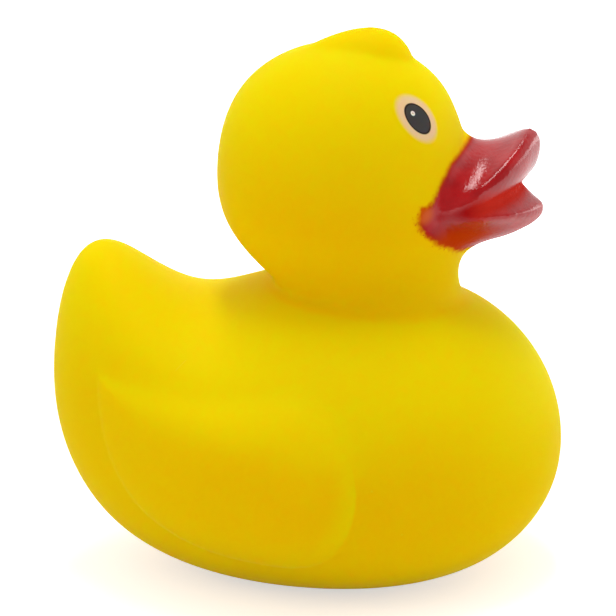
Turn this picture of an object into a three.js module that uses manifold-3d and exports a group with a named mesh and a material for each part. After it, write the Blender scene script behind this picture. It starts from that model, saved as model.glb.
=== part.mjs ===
// Bath duck: one closed vinyl moulding, beak along +X, resting on a flat base at z = 0. Millimetres.

import * as THREE from 'three';
import { LoftGeometry } from 'three/addons/geometries/LoftGeometry.js';
import { mergeVertices } from 'three/addons/utils/BufferGeometryUtils.js';
import Module from 'manifold-3d';

// Body: each AT is a distance forward from the tail end, each height is above the base
const BODY_LENGTH = 80.4;
const BODY_WIDTH = 69;
const BODY_WIDEST_AT = 43;
const TAIL_END_HEIGHT = 31;
const TAIL_TOP_AT = 8.5;
const TAIL_TOP_HEIGHT = 52.6;
const TAIL_WIDTH = 36;
const TAIL_EDGE_AT = 6;
const TAIL_EDGE_HEIGHT = 33;
const SADDLE_AT = 23.8;
const SADDLE_HEIGHT = 44.3;
const NAPE_AT = 34.6;
const NAPE_HEIGHT = 46.1;
const SHOULDER_AT = 49.3;
const SHOULDER_HEIGHT = 47;
const CHEST_TOP_AT = 68.3;
const CHEST_TOP_HEIGHT = 41.8;
const CHEST_WIDTH = 52;
const CHEST_END_HEIGHT = 20.6;
const RUMP_UNDERSIDE = 9;
const KEEL_AT = 41.6;
const KEEL_BELOW_BASE = 0.8;
const BREAST_UNDERSIDE = 3.4;
const WAIST_HEIGHT = 23;
const TAIL_ROUNDING = 1.5;
const BACK_ROUNDING = 2;
const BELLY_ROUNDING = 2.5;

// Wings: a low pillow on each flank, outlined in side view from its rear tip
const WING_REAR_AT = 8;
const WING_LENGTH = 39.3;
const WING_TIP_HEIGHT = 35.5;
const WING_TOP_HEIGHT = 35.8;
const WING_BOTTOM_HEIGHT = 8.8;
const WING_FRONT_ROUND = 9.7;
const WING_TIP_SWEEP = 22;
const WING_TIP_SAG = 3.2;
const WING_TOP_SWEEP = 6;
const WING_BOTTOM_SWEEP = 19.4;
const WING_HEEL_HEIGHT = 15;
const WING_RELIEF = 2.8;
const WING_FULLNESS = 4;
const WING_EDGE = 0.5;
const WING_ROOT_DEPTH = 2;

// Head: each RISE is above the neck, each reach is along X from the middle of the neck
const NECK_SINK = 7;
const NECK_LENGTH = 29;
const NECK_WIDTH = 29.4;
const NECK_FLARE = 4.5;
const THROAT_FLARE = 3;
const NAPE_UNDERCUT = 8;
const JAW_RISE = 8.4;
const JAW_BACK_REACH = 21.5;
const JAW_FRONT_REACH = 16.8;
const JAW_WIDTH = 38.5;
const HEAD_RISE = 17.8;
const HEAD_BACK_REACH = 23.3;
const HEAD_FRONT_REACH = 16.3;
const HEAD_WIDTH = 42;
const BROW_RISE = 30.4;
const BROW_BACK_REACH = 19.1;
const BROW_FRONT_REACH = 11.8;
const BROW_WIDTH = 31;
const CROWN_RISE = 37.2;
const CROWN_BACK_REACH = 3;
const FACE_TAPER = 0.08;

// Tuft: a drop lying on the crown with its blunt end forward
const TUFT_RADIUS = 5.6;
const TUFT_AHEAD = 3.5;
const TUFT_SINK = 3.2;
const TUFT_FRONT_LENGTH = 6.6;
const TUFT_BACK_LENGTH = 14.5;
const TUFT_DIP = 1;

// Beak: reaches are along X from the front of the head, heights are from the mouth
const MOUTH_BELOW_HEAD = 2.8;
const MOUTH_REACH = 7.8;
const MOUTH_CORNER_DROP = 2.3;
const MOUTH_CORNER_SETBACK = 8.6;
const BEAK_WIDTH = 29;
const BEAK_TIP_ROUNDING = 1.2;
const BEAK_SIDE_FULLNESS = 3;
const BEAK_ROOT_DEPTH = 7;
const UPPER_ROOT_RISE = 12.8;
const NOSE_REACH = 0.2;
const NOSE_RISE = 7.2;
const BRIDGE_REACH = 3.2;
const BRIDGE_RISE = 6.7;
const UPTURN_REACH = 6.7;
const UPTURN_RISE = 7.5;
const UPPER_TIP_REACH = 9.3;
const UPPER_TIP_RISE = 8.6;
const UPPER_LIP_REACH = 10.8;
const UPPER_LIP_RISE = 6.6;
const PALATE_REACH = 10.2;
const PALATE_RISE = 2.9;
const LOWER_ROOT_DROP = 18;
const THROAT_REACH = 0;
const THROAT_DROP = 10.9;
const CHIN_REACH = 2.6;
const CHIN_DROP = 9.5;
const LOWER_BILL_REACH = 6.3;
const LOWER_BILL_DROP = 8.4;
const LOWER_TIP_REACH = 10.2;
const LOWER_TIP_DROP = 6.3;
const LOWER_LIP_REACH = 11.6;
const LOWER_LIP_DROP = 4.1;
const TONGUE_REACH = 10.3;
const TONGUE_DROP = 2.4;
const UPPER_LIP_ARCH = 1.37;
const LOWER_ROOT_ARCH = 2;
const LOWER_BILL_ARCH = 2;
const LOWER_LIP_ARCH = 3.5;
const MOUTH_ARCH = 0.9;

// Facets
const BODY_STEPS = 48;
const BODY_SIDES = 52;
const HEAD_STEPS = 30;
const HEAD_SIDES = 48;
const WING_RINGS = 5;
const WING_SIDES = 44;
const TUFT_STEPS = 7;
const TUFT_SIDES = 24;
const BEAK_STEPS = 21;
const BEAK_SIDES = 44;

// Corners closer than this are one corner
const MERGE_DISTANCE = 1e-4;

const wasm = await Module();
wasm.setup();

// Closed solid from a geometry: shared corners are merged and collapsed triangles dropped
function solidOf(geometry) {
  const bare = new THREE.BufferGeometry();
  bare.setAttribute('position', geometry.attributes.position);
  bare.setIndex(geometry.index);
  const merged = mergeVertices(bare, MERGE_DISTANCE);
  const index = merged.index.array;
  const triangles = [];
  for (let i = 0; i < index.length; i += 3) {
    const [a, b, c] = index.slice(i, i + 3);
    if (a !== b && b !== c && c !== a) triangles.push(a, b, c);
  }
  return new wasm.Manifold(new wasm.Mesh({
    numProp: 3,
    vertProperties: new Float32Array(merged.attributes.position.array),
    triVerts: new Uint32Array(triangles),
  }));
}

// Natural cubic spline through [place, value] stations
function rail(stations) {
  const last = stations.length - 1;
  const bend = new Array(last + 1).fill(0);
  const load = new Array(last + 1).fill(0);
  for (let i = 1; i < last; i++) {
    const [[before, low], [here, middle], [after, high]] = stations.slice(i - 1, i + 2);
    const share = (here - before) / (after - before);
    const kink = (high - middle) / (after - here) - (middle - low) / (here - before);
    const pivot = share * bend[i - 1] + 2;
    bend[i] = (share - 1) / pivot;
    load[i] = (6 * kink / (after - before) - share * load[i - 1]) / pivot;
  }
  for (let i = last - 1; i > 0; i--) bend[i] = bend[i] * bend[i + 1] + load[i];
  return (place) => {
    let i = 1;
    while (i < last && place > stations[i][0]) i++;
    const [[left, low], [right, high]] = stations.slice(i - 1, i + 1);
    const span = right - left;
    const b = (place - left) / span;
    const a = 1 - b;
    const curve = (a ** 3 - a) * bend[i - 1] + (b ** 3 - b) * bend[i];
    return a * low + b * high + curve * span ** 2 / 6;
  };
}

const rangeOf = (count) => Array.from({ length: count }, (_, i) => i);
const power = (value, exponent) => Math.sign(value) * Math.abs(value) ** exponent;

// Body rails run over an angle, 0 at the tail end and PI at the chest, so both ends come out round
const halfLength = BODY_LENGTH / 2;
const bodyAngle = (place) => Math.acos(THREE.MathUtils.clamp(1 - place / halfLength, -1, 1));
const bodyRail = (stations) => rail(stations.map(([place, value]) => [bodyAngle(place), value]));
const backLine = bodyRail([
  [0, TAIL_END_HEIGHT],
  [TAIL_TOP_AT, TAIL_TOP_HEIGHT],
  [SADDLE_AT, SADDLE_HEIGHT],
  [NAPE_AT, NAPE_HEIGHT],
  [SHOULDER_AT, SHOULDER_HEIGHT],
  [CHEST_TOP_AT, CHEST_TOP_HEIGHT],
  [BODY_LENGTH, CHEST_END_HEIGHT],
]);
const keelLine = bodyRail([
  [0, TAIL_END_HEIGHT],
  [TAIL_TOP_AT, RUMP_UNDERSIDE],
  [KEEL_AT, -KEEL_BELOW_BASE],
  [CHEST_TOP_AT, BREAST_UNDERSIDE],
  [BODY_LENGTH, CHEST_END_HEIGHT],
]);
const waistLine = bodyRail([
  [0, TAIL_END_HEIGHT],
  [TAIL_EDGE_AT, TAIL_EDGE_HEIGHT],
  [BODY_WIDEST_AT, WAIST_HEIGHT],
  [BODY_LENGTH, CHEST_END_HEIGHT],
]);
const flankLine = bodyRail([
  [0, 0],
  [TAIL_TOP_AT, TAIL_WIDTH / 2],
  [BODY_WIDEST_AT, BODY_WIDTH / 2],
  [CHEST_TOP_AT, CHEST_WIDTH / 2],
  [BODY_LENGTH, 0],
]);
const backRounding = bodyRail([
  [0, TAIL_ROUNDING],
  [SADDLE_AT, BACK_ROUNDING],
  [BODY_LENGTH, BACK_ROUNDING],
]);

function bodySection(angle) {
  const waist = waistLine(angle);
  const rise = backLine(angle) - waist;
  const drop = waist - keelLine(angle);
  return rangeOf(BODY_SIDES).map((k) => {
    const turn = 2 * Math.PI * k / BODY_SIDES;
    const upper = Math.sin(turn) > 0;
    const exponent = 2 / (upper ? backRounding(angle) : BELLY_ROUNDING);
    return new THREE.Vector3(
      -halfLength * Math.cos(angle),
      flankLine(angle) * power(Math.cos(turn), exponent),
      waist + (upper ? rise : drop) * power(Math.sin(turn), exponent),
    );
  });
}

// Half-width of the body at a place in side view
function flankAt(x, z) {
  const angle = bodyAngle(x + halfLength);
  const waist = waistLine(angle);
  const upper = z > waist;
  const reach = upper ? backLine(angle) - waist : waist - keelLine(angle);
  const rounding = upper ? backRounding(angle) : BELLY_ROUNDING;
  const share = Math.min(Math.abs(z - waist) / reach, 1);
  return flankLine(angle) * (1 - share ** rounding) ** (1 / rounding);
}

function makeBody() {
  const sections = rangeOf(BODY_STEPS + 1).map((i) => bodySection(Math.PI * i / BODY_STEPS));
  return solidOf(new LoftGeometry(sections));
}

// Wing outline in side view, from the rear tip over the top to the round front and back below
const wingRear = WING_REAR_AT - halfLength;
const wingRoundX = wingRear + WING_LENGTH - WING_FRONT_ROUND;
const wingMiddle = (WING_TOP_HEIGHT + WING_BOTTOM_HEIGHT) / 2;
const wingHalfHeight = (WING_TOP_HEIGHT - WING_BOTTOM_HEIGHT) / 2;
const wingShape = new THREE.Shape();
wingShape.moveTo(wingRear, WING_TIP_HEIGHT);
wingShape.bezierCurveTo(
  wingRear + WING_TIP_SWEEP, WING_TIP_HEIGHT - WING_TIP_SAG,
  wingRoundX - WING_TOP_SWEEP, WING_TOP_HEIGHT,
  wingRoundX, WING_TOP_HEIGHT,
);
wingShape.absellipse(
  wingRoundX, wingMiddle, WING_FRONT_ROUND, wingHalfHeight, Math.PI / 2, -Math.PI / 2, true,
);
wingShape.bezierCurveTo(
  wingRoundX - WING_BOTTOM_SWEEP, WING_BOTTOM_HEIGHT,
  wingRear, WING_HEEL_HEIGHT,
  wingRear, WING_TIP_HEIGHT,
);
const wingEdge = wingShape.getSpacedPoints(WING_SIDES).slice(1);
const wingCentre = new THREE.Vector2(wingRear + WING_LENGTH / 2, wingMiddle);

function wingRing(share, height, side) {
  return wingEdge.map((edge) => {
    const place = wingCentre.clone().lerp(edge, share);
    return new THREE.Vector3(place.x, side * (flankAt(place.x, place.y) + height), place.y);
  });
}

function makeWing(side) {
  const pillow = rangeOf(WING_RINGS + 1).map((i) => {
    const share = Math.sin(Math.PI / 2 * i / WING_RINGS);
    const height = WING_EDGE + (WING_RELIEF - WING_EDGE) * (1 - share ** WING_FULLNESS);
    return wingRing(share, height, side);
  });
  const root = [1, 0].map((share) => wingRing(share, -WING_ROOT_DEPTH, side));
  const rings = [...pillow, ...root];
  return solidOf(new LoftGeometry(side > 0 ? rings.reverse() : rings));
}

// Head rails run over an angle, 0 at the neck root and PI / 2 at the crown, so the crown comes out round
const neckX = SHOULDER_AT - halfLength;
const neckRoot = SHOULDER_HEIGHT - NECK_SINK;
const headSpan = NECK_SINK + CROWN_RISE;
const crownX = neckX - CROWN_BACK_REACH;
const headAngle = (rise) => Math.asin((NECK_SINK + rise) / headSpan);
const headRail = (stations) => rail(stations.map(([rise, value]) => [headAngle(rise), value]));
const napeLine = headRail([
  [-NECK_SINK, neckX - NECK_LENGTH / 2 + NAPE_UNDERCUT],
  [0, neckX - NECK_LENGTH / 2],
  [JAW_RISE, neckX - JAW_BACK_REACH],
  [HEAD_RISE, neckX - HEAD_BACK_REACH],
  [BROW_RISE, neckX - BROW_BACK_REACH],
  [CROWN_RISE, crownX],
]);
const faceLine = headRail([
  [-NECK_SINK, neckX + NECK_LENGTH / 2 + THROAT_FLARE],
  [0, neckX + NECK_LENGTH / 2],
  [JAW_RISE, neckX + JAW_FRONT_REACH],
  [HEAD_RISE, neckX + HEAD_FRONT_REACH],
  [BROW_RISE, neckX + BROW_FRONT_REACH],
  [CROWN_RISE, crownX],
]);
const cheekLine = headRail([
  [-NECK_SINK, NECK_WIDTH / 2 + NECK_FLARE],
  [0, NECK_WIDTH / 2],
  [JAW_RISE, JAW_WIDTH / 2],
  [HEAD_RISE, HEAD_WIDTH / 2],
  [BROW_RISE, BROW_WIDTH / 2],
  [CROWN_RISE, 0],
]);

function headSection(angle) {
  const middle = (napeLine(angle) + faceLine(angle)) / 2;
  const depth = (faceLine(angle) - napeLine(angle)) / 2;
  return rangeOf(HEAD_SIDES).map((k) => {
    const turn = 2 * Math.PI * k / HEAD_SIDES;
    const taper = 1 - FACE_TAPER * Math.cos(turn);
    return new THREE.Vector3(
      middle + depth * Math.cos(turn),
      cheekLine(angle) * Math.sin(turn) * taper,
      neckRoot + headSpan * Math.sin(angle),
    );
  });
}

function makeHead() {
  const sections = rangeOf(HEAD_STEPS + 1).map((i) => headSection(Math.PI / 2 * i / HEAD_STEPS));
  return solidOf(new LoftGeometry(sections, { capStart: true }));
}

// Tuft: a blunt half egg in front and a tapering point behind
function makeTuft() {
  const front = rangeOf(TUFT_STEPS + 1).map((i) => {
    const turn = Math.PI / 2 * i / TUFT_STEPS;
    return new THREE.Vector2(TUFT_RADIUS * Math.cos(turn), TUFT_FRONT_LENGTH * Math.sin(turn));
  });
  const back = rangeOf(TUFT_STEPS).map((i) => {
    const share = 1 - i / TUFT_STEPS;
    return new THREE.Vector2(TUFT_RADIUS * (1 - share ** 2), -TUFT_BACK_LENGTH * share);
  });
  const drop = new THREE.LatheGeometry([...back, ...front], TUFT_SIDES);
  drop.rotateZ(-Math.PI / 2);
  drop.rotateY(-Math.asin(TUFT_DIP / TUFT_BACK_LENGTH));
  drop.translate(crownX + TUFT_AHEAD, 0, SHOULDER_HEIGHT + CROWN_RISE - TUFT_SINK);
  return solidOf(drop);
}

// Beak: rings run from a root inside the face out to the lips and in again to the line of the mouth
const faceX = neckX + HEAD_FRONT_REACH;
const mouthHeight = SHOULDER_HEIGHT + HEAD_RISE - MOUTH_BELOW_HEAD;
const beakPoint = (reach, rise) => new THREE.Vector2(faceX + reach, mouthHeight + rise);
const upperBill = new THREE.SplineCurve([
  beakPoint(-BEAK_ROOT_DEPTH, UPPER_ROOT_RISE),
  beakPoint(NOSE_REACH, NOSE_RISE),
  beakPoint(BRIDGE_REACH, BRIDGE_RISE),
  beakPoint(UPTURN_REACH, UPTURN_RISE),
  beakPoint(UPPER_TIP_REACH, UPPER_TIP_RISE),
  beakPoint(UPPER_LIP_REACH, UPPER_LIP_RISE),
  beakPoint(PALATE_REACH, PALATE_RISE),
  beakPoint(MOUTH_REACH, 0),
]);
const lowerBill = new THREE.SplineCurve([
  beakPoint(-BEAK_ROOT_DEPTH, -LOWER_ROOT_DROP),
  beakPoint(THROAT_REACH, -THROAT_DROP),
  beakPoint(CHIN_REACH, -CHIN_DROP),
  beakPoint(LOWER_BILL_REACH, -LOWER_BILL_DROP),
  beakPoint(LOWER_TIP_REACH, -LOWER_TIP_DROP),
  beakPoint(LOWER_LIP_REACH, -LOWER_LIP_DROP),
  beakPoint(TONGUE_REACH, -TONGUE_DROP),
  beakPoint(MOUTH_REACH, 0),
]);
const corner = beakPoint(-MOUTH_CORNER_SETBACK, -MOUTH_CORNER_DROP);
const lipShare = (upperBill.points.length - 3) / (upperBill.points.length - 1);
const upperArch = rail([[0, 1], [lipShare, UPPER_LIP_ARCH], [1, MOUTH_ARCH]]);
const lowerArch = rail([
  [0, LOWER_ROOT_ARCH],
  [lipShare / 2, LOWER_BILL_ARCH],
  [lipShare, LOWER_LIP_ARCH],
  [1, MOUTH_ARCH],
]);

function beakRing(share) {
  const top = upperBill.getPoint(share);
  const bottom = lowerBill.getPoint(share);
  return rangeOf(BEAK_SIDES).map((k) => {
    const turn = 2 * Math.PI * k / BEAK_SIDES;
    const upper = Math.sin(turn) > 0;
    const crest = upper ? top : bottom;
    const arch = upper ? upperArch(share) : lowerArch(share);
    const aside = Math.cos(turn);
    const bulge = (1 - Math.abs(aside) ** BEAK_TIP_ROUNDING) ** (1 / BEAK_SIDE_FULLNESS);
    return new THREE.Vector3(
      THREE.MathUtils.lerp(corner.x, crest.x, bulge),
      BEAK_WIDTH / 2 * aside,
      THREE.MathUtils.lerp(corner.y, crest.y, bulge ** arch),
    );
  });
}

function makeBeak() {
  const rings = rangeOf(BEAK_STEPS + 1).map((i) => beakRing(i / BEAK_STEPS));
  return solidOf(new LoftGeometry(rings, { capStart: true }));
}

const base = new THREE.BoxGeometry(2 * BODY_LENGTH, 2 * BODY_WIDTH, 2 * TAIL_TOP_HEIGHT);
base.translate(0, 0, -TAIL_TOP_HEIGHT);

const moulding = [makeWing(1), makeWing(-1), makeHead(), makeTuft(), makeBeak()]
  .reduce((whole, piece) => whole.add(piece), makeBody())
  .subtract(solidOf(base));

function geometryOf(solid) {
  const mesh = solid.getMesh();
  const geometry = new THREE.BufferGeometry();
  geometry.setAttribute('position', new THREE.BufferAttribute(mesh.vertProperties, mesh.numProp));
  geometry.setIndex(new THREE.BufferAttribute(mesh.triVerts, 1));
  geometry.computeVertexNormals();
  return geometry;
}

const vinyl = new THREE.MeshStandardMaterial({ color: 0xe8c808, roughness: 0.45, metalness: 0 });
const duck = new THREE.Mesh(geometryOf(moulding), vinyl);
duck.name = 'duck';

const figurine = new THREE.Group();
figurine.add(duck);

export default figurine;
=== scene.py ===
"""Looks of the bath duck: a smooth vinyl skin over the CAD solid, with a sprayed beak and printed eyes."""

import math

import bmesh
import bpy
import numpy as np
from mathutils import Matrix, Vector
from mathutils.kdtree import KDTree


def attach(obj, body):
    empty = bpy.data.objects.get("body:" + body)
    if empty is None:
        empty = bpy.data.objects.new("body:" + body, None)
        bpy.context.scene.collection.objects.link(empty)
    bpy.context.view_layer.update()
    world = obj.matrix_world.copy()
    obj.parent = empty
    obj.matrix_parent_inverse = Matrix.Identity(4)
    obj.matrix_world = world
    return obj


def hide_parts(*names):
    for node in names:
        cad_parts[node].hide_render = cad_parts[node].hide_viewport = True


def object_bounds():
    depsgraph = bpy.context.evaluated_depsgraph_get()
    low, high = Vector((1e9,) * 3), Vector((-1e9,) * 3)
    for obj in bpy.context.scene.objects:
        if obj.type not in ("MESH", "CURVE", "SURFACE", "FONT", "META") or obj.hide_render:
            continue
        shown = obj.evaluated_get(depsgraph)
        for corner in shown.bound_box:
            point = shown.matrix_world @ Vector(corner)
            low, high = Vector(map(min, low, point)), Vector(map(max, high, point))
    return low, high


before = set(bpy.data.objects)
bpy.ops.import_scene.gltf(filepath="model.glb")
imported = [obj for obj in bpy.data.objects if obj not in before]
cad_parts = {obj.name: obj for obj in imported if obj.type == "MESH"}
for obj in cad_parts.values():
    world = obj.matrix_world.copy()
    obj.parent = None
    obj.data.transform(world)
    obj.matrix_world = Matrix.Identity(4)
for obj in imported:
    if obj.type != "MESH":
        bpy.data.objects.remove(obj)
cad_low, cad_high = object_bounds()
MM = 0.001

# Skin: fine enough to carry the lips, smoothed until no facet of the solid shows, then thinned a little
SKIN_VOXEL = 0.5 * MM
SKIN_ROUNDS = 80
SKIN_STEP = 0.5
SKIN_KEPT = 0.82
WELD = 0.001 * MM
FLAT_BASE = 0.05 * MM
CREASE_ANGLE = math.radians(28)
CREASE_SPACING = 0.4 * MM
CREASE_NEAR = 0.5 * MM
CREASE_FAR = 3.5 * MM

# How far each crease is rounded: 1 is as much as an open surface
LIP_ROUNDING = 0.07
BEAK_ROOT_ROUNDING = 0.06
WING_EDGE_ROUNDING = 0.08
WING_TOP_ROUNDING = 0.6
TUFT_ROUNDING = 0.25
NECK_ROUNDING = 0.6

# Where those creases lie
LIPS_FORWARD_OF = 25.5 * MM
LIP_REACH = (3.5 * MM, 5.5 * MM)
WING_REAR_END = (-31 * MM, -27 * MM)
WING_UPPER_HALF = (20 * MM, 26 * MM)
NECK_LOW = 38 * MM
NECK_HIGH = 53 * MM
TUFT_LOW = 78 * MM

# Border of the beak's paint in side view, from the chin up to the forehead: forward and upward, in mm
PAINT_BORDER = [
    (28, 51.5), (23.2, 52.7), (20, 55.2), (17.5, 57.7), (16.5, 60), (17, 61.9), (18.6, 62.3), (20, 64.7),
    (21.8, 67.4), (24, 68.8), (25.4, 69.6), (25.8, 72),
]

# Edge of that paint, by depth inside the border in mm: soft, and ragged and speckled low down
PAINT_EDGE = (-0.6, 0.5)
RAGGED_BELOW = (62.5 * MM, 65 * MM)
RAGGED_SCALE = 900
RAGGED_DEPTH = 0.4
RAGGED_EXTRA_LOW = 1.2
SPECK_REACH = (-1.3, -0.1)
SPECK_SCALE = 1500
SPECK_LEVELS = (0.62, 0.7)
SPECK_STRENGTH = 0.8

# Red of the beak: mottled, and orange along the border, by that same depth
FRINGE = (-0.3, 0.9)
FRINGE_STRENGTH = 0.8
RED_MOTTLE_SCALE = 260
RED_MOTTLE_LEVELS = (0.35, 0.7)

# Line where the lips meet, from the corner of the mouth to its middle: forward, sideways and upward, in mm
MOUTH_LINE = [
    (16.8, 14.5, 59.7), (25.2, 12.6, 60.6), (29.6, 9.0, 61.5), (32.2, 4.5, 61.9), (33.2, 0.0, 62.0),
]

# The mouth's inner colour reaches this far from that line, in mm, and widens and warms forward
MOUTH_REACH = (1.2, 3)
MOUTH_WIDENS = (21 * MM, 27 * MM)
MOUTH_WARMS = (23 * MM, 28 * MM)
MOUTH_FULL = 0.25

# Patches where the vinyl shows warm through thin paint, on the duck's right side; the left mirrors them
THIN_PAINT_CENTRE = Vector((23.5, -10.5, 54.8)) * MM
THIN_PAINT_RADII = Vector((10.5, 9.0, 4.4)) * MM
CORNER_CENTRE = Vector((17.4, -16.2, 61.0)) * MM
CORNER_RADII = Vector((2.6, 3.5, 2.5)) * MM
BLOB_FULL = 0.3

# Lacquer: how glossy, by depth inside the border in mm, and what is left of it at the cheeks and underneath
LACQUER = 0.9
LACQUER_EDGE = (0.2, 1.1)
LACQUER_ROUGHNESS = 0.16
CHEEK = (17 * MM, 22 * MM)
CHEEK_GLOSS = 0.3
UNDERSIDE = (56 * MM, 60 * MM)
UNDERSIDE_GLOSS = 0.35
RIPPLE_SCALE = 1700
RIPPLE_HEIGHT = 0.06

# Vinyl: a fine grain, hardly any gloss, and light that soaks in, red the furthest
GRAIN_SCALE = 1800
GRAIN_LEVELS = (0.3, 0.7)
GRAIN_ROUGHNESS = (0.45, 0.55)
GRAIN_HEIGHT = 0.01
SPECULAR_LEVEL = 0.008
SOAK_DEPTH = 6 * MM
SOAK_COLOURS = (1.0, 0.1, 0.03)

# Yellow: mottled by a broad noise, painted paler as light where it faces up, and painted darker as shade in
# hollows of this many mm
MOTTLE_SCALE = 55
MOTTLE_STRENGTH = 0.6
PAINTED_LIGHT_TILT = (-0.2, 0.6)
PAINTED_SHADE_HOLLOW = 0.7
HOLLOW_ROUNDS = 200

# Rounded front of each wing in side view, forward and upward, with a painted highlight along its rim
WING_ROUND_CENTRE = (-2.6 * MM, 22.3 * MM)
WING_ROUND_RADII = (9.7 * MM, 13.5 * MM)
WING_RIM_INNER = (0.5, 0.94)
WING_RIM_OUTER = (0.98, 1.04)
WING_RIM_BACK = (-12 * MM, -2 * MM)
WING_RIM_LOW = (9 * MM, 20 * MM)
WING_RIM_STRENGTH = (0.25, 0.9)
WING_FLANK = (20 * MM, 26 * MM)

# Printed eye on the duck's right side; the left one mirrors it
EYE_LONG = Vector((0.66, 0.05, -0.75))
EYE_SHORT = Vector((-0.45, -0.77, -0.45))
EYE_REACH = 1.5
RING_CENTRE = Vector((16.78, -12.17, 75.09)) * MM
RING_RADII = (4.40 * MM, 3.36 * MM)
RING_EDGE = (0.8, 1.08)
PUPIL_CENTRE = Vector((16.79, -12.14, 74.97)) * MM
PUPIL_RADII = (2.80 * MM, 2.13 * MM)
PUPIL_RIM_FROM = (0.84, 0.95)
PUPIL_EDGE = (0.96, 1.03)
GLINT_CENTRE = Vector((15.92, -12.23, 75.75)) * MM
GLINT_RADIUS = 0.42 * MM
GLINT_EDGE = (0.8 * GLINT_RADIUS, 1.1 * GLINT_RADIUS)
GLINT_CORE = (0.2 * GLINT_RADIUS, 0.5 * GLINT_RADIUS)
GLINT_CORE_STRENGTH = 0.7

# Marks of use on the duck's right flank
SCRATCH = (Vector((-20.28, -22.89, 38.02)) * MM, Vector((-18.49, -21.19, 39.41)) * MM)
SCRATCH_WIDTH = 0.09 * MM
SCRATCH_STRENGTH = 0.6
FLECKS = [Vector((14.18, -32.6, 15.21)) * MM, Vector((9.58, -34.07, 22.59)) * MM]
FLECK_RADIUS = 0.3 * MM
FLECK_STRENGTH = 0.5

# Studio: a wide floor that glows for the camera, and a room that a gloss mirrors dark in front and above
FLOOR_SIZE = 6
FLOOR_ROUGHNESS = 0.9
FLOOR_GLOW = (0.58, 0.95)
FLOOR_GLOW_REACH = (70 * MM, 220 * MM)
ROOM_LEVEL = 0.69
ROOM_DARK = 0.18
ROOM_FRONT = (-0.5, 0.5)
ROOM_CEILING = (0.65, 0.95)

# Camera: the photograph's angle and framing
CAMERA_ELEVATION = math.radians(16)
CAMERA_DISTANCE = 600 * MM
CAMERA_AIM = Vector((0, 0, 41.5)) * MM
CAMERA_SENSOR = 36
CAMERA_NEAR = CAMERA_DISTANCE / 10
VIEW_WIDTH = 97 * MM


def linear(red, green, blue):
    """Shader colour of an 8-bit sRGB colour."""
    share = [value / 255 for value in (red, green, blue)]
    return (*(s / 12.92 if s <= 0.04045 else ((s + 0.055) / 1.055) ** 2.4 for s in share), 1)


# YELLOW is the vinyl's tone under painted light, DEEP_YELLOW its tone under painted shade; the mottling
# mixes them too
YELLOW = linear(241, 216, 3)
DEEP_YELLOW = linear(247, 202, 2)
WORN_YELLOW = linear(244, 224, 70)
RED = linear(186, 22, 26)
DEEP_RED = linear(166, 12, 18)
MOUTH_RED = linear(208, 48, 34)
ORANGE_RED = linear(194, 58, 2)
ORANGE = linear(214, 84, 0)
PEACH = linear(236, 204, 156)
PUPIL_GREY = linear(72, 70, 69)
PUPIL_RIM = linear(52, 36, 30)
CREAM = linear(242, 236, 220)
TAN = linear(196, 168, 120)
FLOOR_WHITE = linear(232, 232, 232)
WHITE = (1, 1, 1, 1)


def smooth_step(value, low, high):
    share = np.clip((value - low) / (high - low), 0, 1)
    return share * share * (3 - 2 * share)


def places_of(mesh):
    places = np.empty(len(mesh.vertices) * 3)
    mesh.vertices.foreach_get("co", places)
    return places.reshape(-1, 3)


def edges_of(mesh):
    return np.array([edge.vertices for edge in mesh.edges])


def crease_points(mesh):
    """Points along every crease of the solid: edges whose two faces turn sharply."""
    solid = bmesh.new()
    solid.from_mesh(mesh)
    found = []
    for edge in solid.edges:
        if len(edge.link_faces) == 2 and edge.calc_face_angle() > CREASE_ANGLE:
            steps = max(1, math.ceil(edge.calc_length() / CREASE_SPACING))
            start, end = (v.co for v in edge.verts)
            found += [start.lerp(end, i / steps) for i in range(steps + 1)]
    solid.free()
    return found


def crease_distance(places, creases):
    """Distance of each place from the nearest crease."""
    tree = KDTree(len(creases))
    for i, point in enumerate(creases):
        tree.insert(point, i)
    tree.balance()
    return np.array([tree.find(place)[2] for place in places])


def line_distance(places, line):
    """Distance of each place from a line through points."""
    gap = np.full(len(places), np.inf)
    for start, end in zip(line[:-1], line[1:]):
        along = end - start
        share = np.clip((places - start) @ along / (along @ along), 0, 1)
        gap = np.minimum(gap, np.linalg.norm(places - start - share[:, None] * along, axis=1))
    return gap


def mouth_distance(places):
    """Distance of each place from the line where the lips meet."""
    x, y, z = places.T
    return line_distance(np.stack([x, abs(y), z], 1), np.array(MOUTH_LINE) * MM)


def rounding_at(places):
    """How far a crease at each place is rounded."""
    x, _, z = places.T
    wing_top = smooth_step(x, *WING_REAR_END) * smooth_step(z, *WING_UPPER_HALF)
    rounding = WING_EDGE_ROUNDING + (WING_TOP_ROUNDING - WING_EDGE_ROUNDING) * wing_top
    rounding[(z > NECK_LOW) & (z < NECK_HIGH)] = NECK_ROUNDING
    near_lips = np.maximum(smooth_step(mouth_distance(places), *LIP_REACH[::-1]), x > LIPS_FORWARD_OF)
    beak = BEAK_ROOT_ROUNDING + (LIP_ROUNDING - BEAK_ROOT_ROUNDING) * near_lips
    rounding[z > NECK_HIGH] = beak[z > NECK_HIGH]
    rounding[z > TUFT_LOW] = TUFT_ROUNDING
    return rounding


def relaxed(places, edges, weight, rounds):
    """Places after each has moved towards the mean of its neighbours, a number of times."""
    first, second = edges.T
    count = len(places)
    degree = np.bincount(first, minlength=count) + np.bincount(second, minlength=count)
    moved = places.copy()
    for _ in range(rounds):
        for axis in range(3):
            column = moved[:, axis]
            total = np.bincount(first, column[second], count) + np.bincount(second, column[first], count)
            column += weight * (total / degree - column)
    return moved


def settle(skin):
    """Makes what the skin's modifiers show its own mesh."""
    evaluated = skin.evaluated_get(bpy.context.evaluated_depsgraph_get())
    skin.data = bpy.data.meshes.new_from_object(evaluated)
    skin.modifiers.clear()


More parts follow.
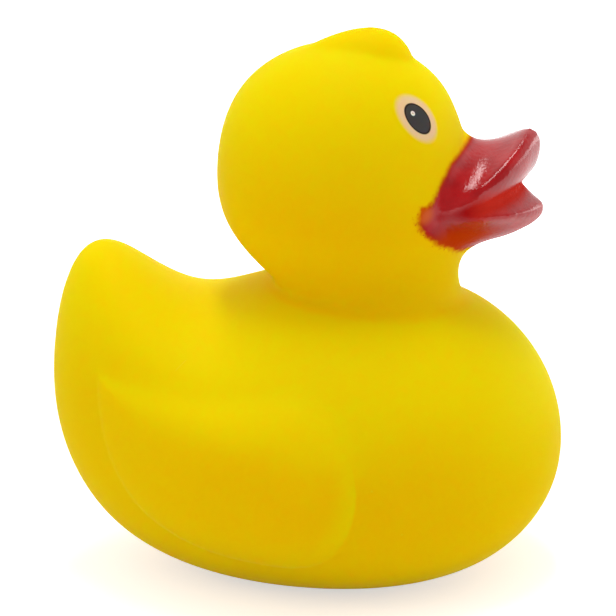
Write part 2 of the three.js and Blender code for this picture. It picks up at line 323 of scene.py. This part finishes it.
def welded(solid):
    """A copy of the solid's mesh whose faces share their corners."""
    mesh = solid.data.copy()
    shell = bmesh.new()
    shell.from_mesh(mesh)
    bmesh.ops.remove_doubles(shell, verts=shell.verts, dist=WELD)
    shell.to_mesh(mesh)
    shell.free()
    return mesh


def smooth(mesh, creases):
    """Smooths a mesh without shrinking it, less along the creases, and keeps its base flat."""
    places = places_of(mesh)
    edges = edges_of(mesh)
    open_share = smooth_step(crease_distance(places, creases), CREASE_NEAR, CREASE_FAR)
    rounding = rounding_at(places)
    weight = SKIN_STEP * (rounding + (1 - rounding) * open_share)
    once = relaxed(places, edges, weight, SKIN_ROUNDS)
    twice = relaxed(once, edges, weight, SKIN_ROUNDS)
    final = np.clip(2 * once - twice, cad_low, cad_high)
    final[places[:, 2] < FLAT_BASE, 2] = 0
    mesh.vertices.foreach_set("co", final.ravel())
    mesh.update()


def make_skin(solid):
    """A closed, smooth mesh on the solid, flat where it rests."""
    mesh = welded(solid)
    creases = crease_points(mesh)
    skin = bpy.data.objects.new("duck_skin", mesh)
    bpy.context.scene.collection.objects.link(skin)
    remesh = skin.modifiers.new("even", "REMESH")
    remesh.mode = "VOXEL"
    remesh.voxel_size = SKIN_VOXEL
    settle(skin)
    smooth(skin.data, creases)
    skin.modifiers.new("thinned", "DECIMATE").ratio = SKIN_KEPT
    settle(skin)
    skin.data.name = "duck_skin"
    skin.data.materials.clear()
    skin.data.shade_smooth()
    return skin


def store(mesh, name, values):
    layer = mesh.attributes.new(name, "FLOAT", "POINT")
    layer.data.foreach_set("value", values)


def mark_beak(skin):
    """Stores how far inside the beak's paint each point lies, and how far from the mouth, in mm."""
    places = places_of(skin.data)
    x, _, z = places.T / MM
    border = np.array(PAINT_BORDER)
    gap = line_distance(np.stack([x, z], 1), border)
    inside = x > np.interp(z, border[:, 1], border[:, 0], left=np.inf)
    store(skin.data, "beak_depth", np.where(inside, gap, -gap))
    store(skin.data, "mouth_gap", mouth_distance(places) / MM)


def mark_form(skin):
    """Stores how far each point of the skin faces up, and how deep it lies in a hollow, in mm, for the
    yellow's painted light and shade.
    """
    places = places_of(skin.data)
    normals = np.empty(places.size)
    skin.data.vertices.foreach_get("normal", normals)
    normals = normals.reshape(-1, 3)
    filled = relaxed(places, edges_of(skin.data), SKIN_STEP, HOLLOW_ROUNDS)
    store(skin.data, "upward", normals[:, 2].copy())
    store(skin.data, "hollow", ((filled - places) * normals).sum(1) / MM)


class Nodes:
    """Shader nodes of a material or the world, joined by calls that return sockets."""

    def __init__(self, owner):
        owner.use_nodes = True
        self.tree = owner.node_tree

    def add(self, kind):
        return self.tree.nodes.new(f"ShaderNode{kind}")

    def put(self, socket, value):
        if isinstance(value, bpy.types.NodeSocket):
            self.tree.links.new(value, socket)
        else:
            socket.default_value = value

    def math(self, operation, *values):
        node = self.add("Math")
        node.operation = operation
        for socket, value in zip(node.inputs, values):
            self.put(socket, value)
        return node.outputs[0]

    def product(self, first, *others):
        for other in others:
            first = self.math("MULTIPLY", first, other)
        return first

    def inverse(self, share):
        return self.math("SUBTRACT", 1, share)

    def centred(self, noise):
        """A noise as its difference from its middle."""
        return self.math("SUBTRACT", noise, 0.5)

    def length(self, first, second):
        """Length of a line by its two runs."""
        squares = self.math("ADD", self.math("POWER", first, 2), self.math("POWER", second, 2))
        return self.math("SQRT", squares)

    def offset(self, value, centre, radius):
        """How far a value lies from a centre, in radii."""
        return self.math("DIVIDE", self.math("SUBTRACT", value, centre), radius)

    def vector(self, operation, *values):
        node = self.add("VectorMath")
        node.operation = operation
        for socket, value in zip(node.inputs, values):
            self.put(socket, value)
        scalar = operation in ("DOT_PRODUCT", "DISTANCE", "LENGTH")
        return node.outputs["Value" if scalar else "Vector"]

    def place(self):
        return self.add("TexCoord").outputs["Object"]

    def split(self, place):
        node = self.add("SeparateXYZ")
        self.put(node.inputs[0], place)
        return node.outputs

    def noise(self, scale, detail):
        node = self.add("TexNoise")
        self.put(node.inputs["Vector"], self.place())
        node.inputs["Scale"].default_value = scale
        node.inputs["Detail"].default_value = detail
        return node.outputs["Fac"]

    def ramp(self, value, low, high, start=0, end=1):
        node = self.add("MapRange")
        node.interpolation_type = "SMOOTHSTEP"
        for socket, given in zip(node.inputs, (value, low, high, start, end)):
            self.put(socket, given)
        return node.outputs[0]

    def mix(self, share, first, second):
        node = self.add("Mix")
        node.data_type = "RGBA"
        for name, value in (("Factor_Float", share), ("A_Color", first), ("B_Color", second)):
            self.put(next(s for s in node.inputs if s.identifier == name), value)
        return next(s for s in node.outputs if s.identifier == "Result_Color")

    def attribute(self, name):
        node = self.add("Attribute")
        node.attribute_name = name
        return node.outputs["Fac"]

    def right_side(self):
        """The place, with the duck's left side folded onto its right."""
        x, y, z = self.split(self.place())
        joined = self.add("CombineXYZ")
        folded = self.math("MULTIPLY", self.math("ABSOLUTE", y), -1)
        for socket, value in zip(joined.inputs, (x, folded, z)):
            self.put(socket, value)
        return joined.outputs[0]

    def ellipse(self, place, centre, radii):
        """Distance from an eye's centre, 1 on the ellipse with these radii."""
        offset = self.vector("SUBTRACT", place, centre)
        along = self.vector("DOT_PRODUCT", offset, EYE_LONG / radii[0])
        across = self.vector("DOT_PRODUCT", offset, EYE_SHORT / radii[1])
        return self.length(along, across)

    def blob(self, place, centre, radii):
        """1 in the middle of an ellipsoid, fading to 0 at its surface."""
        offset = self.vector("DIVIDE", self.vector("SUBTRACT", place, centre), radii)
        return self.ramp(self.vector("LENGTH", offset), BLOB_FULL, 1, 1, 0)

    def segment(self, start, end):
        """Distance from a straight line between two points."""
        along = end - start
        offset = self.vector("SUBTRACT", self.place(), start)
        share = self.vector("DOT_PRODUCT", offset, along / along.length_squared)
        share = self.math("MINIMUM", self.math("MAXIMUM", share, 0), 1)
        run = self.vector("MULTIPLY", along, share)
        return self.vector("DISTANCE", offset, run)


def paint_mask(nodes):
    """1 on the beak's paint: a soft edge above the mouth and a ragged, speckled one lower down."""
    depth = nodes.attribute("beak_depth")
    low = nodes.ramp(nodes.split(nodes.place())[2], *RAGGED_BELOW, 1, 0)
    ragged = nodes.centred(nodes.noise(RAGGED_SCALE, detail=4))
    reach = nodes.math("ADD", nodes.product(low, RAGGED_EXTRA_LOW), RAGGED_DEPTH)
    edge = nodes.ramp(nodes.math("ADD", depth, nodes.product(ragged, reach)), *PAINT_EDGE)
    near = nodes.ramp(depth, *SPECK_REACH)
    specks = nodes.ramp(nodes.noise(SPECK_SCALE, detail=2), *SPECK_LEVELS)
    return nodes.math("MAXIMUM", edge, nodes.product(specks, near, low, SPECK_STRENGTH))


def thin_paint(nodes):
    """1 where the paint is a thin matt haze under the lower bill."""
    return nodes.blob(nodes.right_side(), THIN_PAINT_CENTRE, THIN_PAINT_RADII)


def mouth_share(nodes):
    """1 along the line where the lips meet, fading to 0 on the lips, sooner near the corner."""
    forward = nodes.split(nodes.place())[0]
    reach = nodes.ramp(forward, *MOUTH_WIDENS, *MOUTH_REACH)
    away = nodes.math("DIVIDE", nodes.attribute("mouth_gap"), reach)
    return nodes.inverse(nodes.ramp(away, MOUTH_FULL, 1))


def beak_colour(nodes):
    """Red paint, warmer in the open mouth and under the lower bill, orange at its corner and border."""
    forward = nodes.split(nodes.place())[0]
    mottle = nodes.noise(RED_MOTTLE_SCALE, detail=6)
    red = nodes.mix(nodes.ramp(mottle, *RED_MOTTLE_LEVELS), RED, DEEP_RED)
    inner = nodes.mix(nodes.ramp(forward, *MOUTH_WARMS), DEEP_RED, MOUTH_RED)
    red = nodes.mix(mouth_share(nodes), red, inner)
    red = nodes.mix(thin_paint(nodes), red, ORANGE_RED)
    fringe = nodes.ramp(nodes.attribute("beak_depth"), *FRINGE, FRINGE_STRENGTH, 0)
    corner = nodes.blob(nodes.right_side(), CORNER_CENTRE, CORNER_RADII)
    return nodes.mix(nodes.math("MAXIMUM", fringe, corner), red, ORANGE)


def lacquer(nodes):
    """How glossy the beak is: less at the cheeks and underneath, matt in the mouth and on thin paint."""
    gloss = nodes.ramp(nodes.attribute("beak_depth"), *LACQUER_EDGE, 0, LACQUER)
    forward, _, height = nodes.split(nodes.place())
    cheek = nodes.ramp(forward, *CHEEK, CHEEK_GLOSS, 1)
    low = nodes.ramp(height, *UNDERSIDE, UNDERSIDE_GLOSS, 1)
    matt = nodes.math("MAXIMUM", thin_paint(nodes), mouth_share(nodes))
    return nodes.product(gloss, cheek, low, nodes.inverse(matt))


def eyed(nodes, ground):
    """Ground colour with the printed eyes over it."""
    place = nodes.right_side()
    ring = nodes.ellipse(place, RING_CENTRE, RING_RADII)
    pupil = nodes.ellipse(place, PUPIL_CENTRE, PUPIL_RADII)
    glint = nodes.vector("DISTANCE", place, GLINT_CENTRE)
    near = nodes.math("LESS_THAN", nodes.vector("DISTANCE", place, RING_CENTRE), EYE_REACH * RING_RADII[0])
    dark = nodes.mix(nodes.ramp(pupil, *PUPIL_RIM_FROM), PUPIL_GREY, PUPIL_RIM)
    light = nodes.mix(nodes.ramp(glint, *GLINT_CORE, GLINT_CORE_STRENGTH, 0), CREAM, TAN)
    dark = nodes.mix(nodes.ramp(glint, *GLINT_EDGE, 1, 0), dark, light)
    eye = nodes.mix(nodes.ramp(pupil, *PUPIL_EDGE, 1, 0), PEACH, dark)
    return nodes.mix(nodes.product(near, nodes.ramp(ring, *RING_EDGE, 1, 0)), ground, eye)


def marked(nodes, ground):
    """Ground colour with a fine scratch and two pale flecks on it."""
    worn = nodes.ramp(nodes.segment(*SCRATCH), 0, SCRATCH_WIDTH, SCRATCH_STRENGTH, 0)
    for fleck in FLECKS:
        gap = nodes.vector("DISTANCE", nodes.place(), fleck)
        worn = nodes.math("MAXIMUM", worn, nodes.ramp(gap, 0, FLECK_RADIUS, FLECK_STRENGTH, 0))
    return nodes.mix(worn, ground, WORN_YELLOW)


def wing_rim_highlight(nodes):
    """How much painted highlight each wing's rounded front gets: most at its rim, less inward, downward and
    rearward.
    """
    forward, sideways, height = nodes.split(nodes.place())
    along = nodes.offset(forward, WING_ROUND_CENTRE[0], WING_ROUND_RADII[0])
    across = nodes.offset(height, WING_ROUND_CENTRE[1], WING_ROUND_RADII[1])
    out = nodes.length(along, across)
    band = nodes.product(nodes.ramp(out, *WING_RIM_INNER), nodes.ramp(out, *WING_RIM_OUTER, 1, 0))
    flank = nodes.ramp(nodes.math("ABSOLUTE", sideways), *WING_FLANK)
    low = nodes.ramp(height, *WING_RIM_LOW, *WING_RIM_STRENGTH)
    return nodes.product(band, flank, low, nodes.ramp(forward, *WING_RIM_BACK))


def yellow_with_painted_shading(nodes):
    """The vinyl's yellow: mottled, painted paler as light where it faces up and on the wings' rims, and
    painted darker as shade in hollows.
    """
    mottle = nodes.product(nodes.centred(nodes.noise(MOTTLE_SCALE, detail=3)), MOTTLE_STRENGTH)
    # Painted light: the yellow turns paler the more the skin faces up
    share = nodes.ramp(nodes.math("ADD", nodes.attribute("upward"), mottle), *PAINTED_LIGHT_TILT)
    # Painted shade: the yellow turns deeper in hollows
    share = nodes.product(share, nodes.ramp(nodes.attribute("hollow"), 0, PAINTED_SHADE_HOLLOW, 1, 0))
    # Painted highlight: the wings' rims turn paler
    return nodes.mix(nodes.math("MAXIMUM", share, wing_rim_highlight(nodes)), DEEP_YELLOW, YELLOW)


def vinyl():
    """Satin yellow vinyl, faintly mottled and with painted light and shade, with printed eyes and a
    sprayed, lacquered beak.
    """
    material = bpy.data.materials.new("vinyl_skin")
    nodes = Nodes(material)
    shader = nodes.tree.nodes["Principled BSDF"]
    grain = nodes.noise(GRAIN_SCALE, detail=2)
    ripple = nodes.noise(RIPPLE_SCALE, detail=3)
    paint = paint_mask(nodes)
    bare = nodes.inverse(paint)
    yellow = eyed(nodes, marked(nodes, yellow_with_painted_shading(nodes)))
    nodes.put(shader.inputs["Base Color"], nodes.mix(paint, yellow, beak_colour(nodes)))
    nodes.put(shader.inputs["Roughness"], nodes.ramp(grain, *GRAIN_LEVELS, *GRAIN_ROUGHNESS))
    nodes.put(shader.inputs["Subsurface Weight"], bare)
    nodes.put(shader.inputs["Coat Weight"], lacquer(nodes))
    shader.inputs["Coat Roughness"].default_value = LACQUER_ROUGHNESS
    shader.inputs["Specular IOR Level"].default_value = SPECULAR_LEVEL
    shader.inputs["Subsurface Radius"].default_value = SOAK_COLOURS
    shader.inputs["Subsurface Scale"].default_value = SOAK_DEPTH
    bump = nodes.add("Bump")
    bump.inputs["Distance"].default_value = MM
    grain_height = nodes.product(bare, grain, GRAIN_HEIGHT)
    ripple_height = nodes.product(paint, ripple, RIPPLE_HEIGHT)
    nodes.put(bump.inputs["Height"], nodes.math("ADD", grain_height, ripple_height))
    nodes.put(shader.inputs["Normal"], bump.outputs["Normal"])
    nodes.put(shader.inputs["Coat Normal"], bump.outputs["Normal"])
    return material


def seen_directly(nodes):
    """1 for what the camera sees, straight or in a gloss."""
    path = nodes.add("LightPath").outputs
    seen = nodes.math("ADD", path["Is Camera Ray"], path["Is Glossy Ray"])
    return nodes.math("MINIMUM", nodes.math("ADD", seen, path["Is Transmission Ray"]), 1)


def make_floor():
    """A wide pale floor, lightened for the camera so that the background is white and the shadow faint."""
    bpy.ops.mesh.primitive_plane_add(size=FLOOR_SIZE)
    floor = bpy.context.object
    floor.name = "floor"
    material = bpy.data.materials.new("floor_white")
    nodes = Nodes(material)
    shader = nodes.tree.nodes["Principled BSDF"]
    shader.inputs["Base Color"].default_value = FLOOR_WHITE
    shader.inputs["Roughness"].default_value = FLOOR_ROUGHNESS
    shader.inputs["Specular IOR Level"].default_value = 0
    shader.inputs["Emission Color"].default_value = WHITE
    away = nodes.vector("LENGTH", nodes.place())
    glow = nodes.ramp(away, *FLOOR_GLOW_REACH, *FLOOR_GLOW)
    nodes.put(shader.inputs["Emission Strength"], nodes.product(seen_directly(nodes), glow))
    floor.data.materials.append(material)


def make_light(name, place, width, length, power):
    """A soft box that faces the duck."""
    lamp = bpy.data.lights.new(name, "AREA")
    lamp.shape = "RECTANGLE"
    lamp.size = width
    lamp.size_y = length
    lamp.energy = power
    light = bpy.data.objects.new(name, lamp)
    light.location = place
    light.rotation_euler = (CAMERA_AIM - Vector(place)).to_track_quat("-Z", "Y").to_euler()
    bpy.context.scene.collection.objects.link(light)


def make_world():
    """White all round for the camera, and a lit room for the duck, mirrored dark overhead and in front."""
    world = bpy.data.worlds.new("studio")
    nodes = Nodes(world)
    background = nodes.tree.nodes["Background"]
    _, backward, upward = nodes.split(nodes.add("TexCoord").outputs["Generated"])
    sides = nodes.ramp(backward, *ROOM_FRONT, ROOM_DARK, 1)
    ceiling = nodes.ramp(upward, *ROOM_CEILING, 1, ROOM_DARK)
    path = nodes.add("LightPath").outputs
    mirrored = nodes.math("MAXIMUM", path["Is Glossy Ray"], path["Is Transmission Ray"])
    room = nodes.ramp(mirrored, 0, 1, ROOM_LEVEL, nodes.product(sides, ceiling))
    background.inputs["Color"].default_value = WHITE
    nodes.put(background.inputs["Strength"], nodes.math("MAXIMUM", path["Is Camera Ray"], room))
    bpy.context.scene.world = world


def make_camera():
    data = bpy.data.cameras.new("camera")
    data.sensor_width = CAMERA_SENSOR
    data.lens = CAMERA_SENSOR * CAMERA_DISTANCE / VIEW_WIDTH
    data.clip_start = CAMERA_NEAR
    camera = bpy.data.objects.new("camera", data)
    back = Vector((0, -math.cos(CAMERA_ELEVATION), math.sin(CAMERA_ELEVATION)))
    camera.location = CAMERA_AIM + back * CAMERA_DISTANCE
    camera.rotation_euler = (-back).to_track_quat("-Z", "Y").to_euler()
    bpy.context.scene.collection.objects.link(camera)
    bpy.context.scene.camera = camera


# The duck's one piece
skin = make_skin(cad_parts["duck"])
mark_beak(skin)
mark_form(skin)
skin.data.materials.append(vinyl())
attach(skin, "root")
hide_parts("duck")

# Floor, room and lamps, in metres and watts
make_floor()
make_world()
make_light("overhead", place=(0, 0.2, 1.4), width=0.2, length=1.2, power=7.4)
make_light("left_box", place=(-0.96, -0.36, 0.6), width=0.5, length=0.5, power=0.8)
make_light("right_box", place=(0.85, 0.42, 0.16), width=0.8, length=0.2, power=1.4)
make_camera()
bpy.context.scene.view_settings.view_transform = "Standard"
